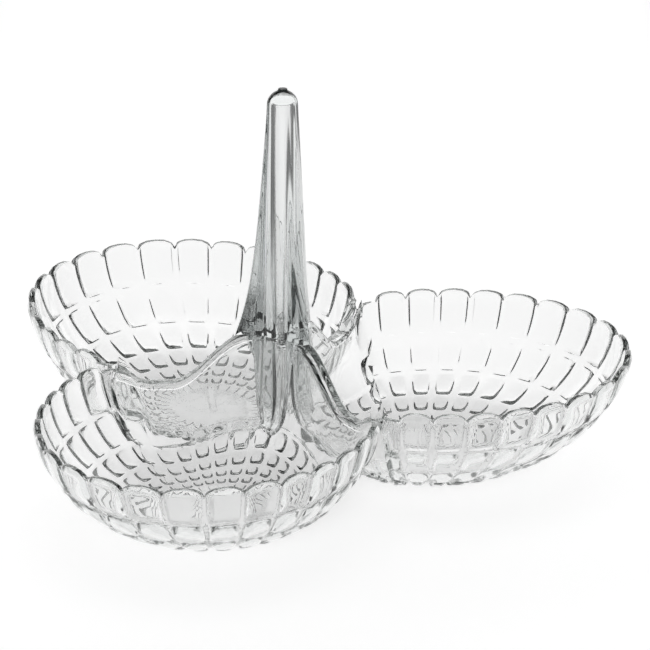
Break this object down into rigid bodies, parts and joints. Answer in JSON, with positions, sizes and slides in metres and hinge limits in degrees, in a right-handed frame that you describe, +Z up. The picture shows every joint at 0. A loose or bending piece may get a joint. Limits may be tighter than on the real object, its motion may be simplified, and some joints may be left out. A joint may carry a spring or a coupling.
{
  "type": "chip and dip server",
  "caption": "Clear footed server with round scallop-rimmed bowls in a trefoil round a tall tapered centre handle that lifts off once unscrewed.",
  "frame": {"origin": "on the table plane, under the handle's axis", "axes": "+X along one bowl, away from the handle; +Z up, along the handle"},
  "size_m": [0.2998, 0.3212, 0.1996],
  "materials": {
    "tray_acrylic": "crystal-clear moulded acrylic, gloss",
    "handle_acrylic": "crystal-clear moulded acrylic with a hollow core, gloss",
    "insert_acrylic": "clear moulded acrylic, gloss",
    "washer_silicone": "milky translucent silicone",
    "screw_acrylic": "clear moulded acrylic, gloss"
  },
  "bodies": {
    "tray": {"bowl_tray": "tray_acrylic"},
    "handle": {"handle": "handle_acrylic", "threaded_insert": "insert_acrylic"},
    "washer": {"sealing_washer": "washer_silicone"},
    "screw": {"clamp_screw": "screw_acrylic"}
  },
  "joints": [
    {"name": "handle_lift", "type": "slide", "parent": "tray", "child": "handle", "axis": [0, 0, 1], "range_m": [0, 0.065]},
    {"name": "washer_drop", "type": "slide", "parent": "tray", "child": "washer", "axis": [0, 0, -1], "range_m": [0, 0.008]},
    {"name": "screw_turn", "type": "hinge", "parent": "washer", "child": "screw", "pos_m": [0, 0, 0.0643], "axis": [0, 0, -1], "range_deg": [0, 2885]}
  ],
  "couplings": [
    {"joint": "screw_turn", "follows": "washer_drop", "rad_per_m": 6283.2}
  ]
}
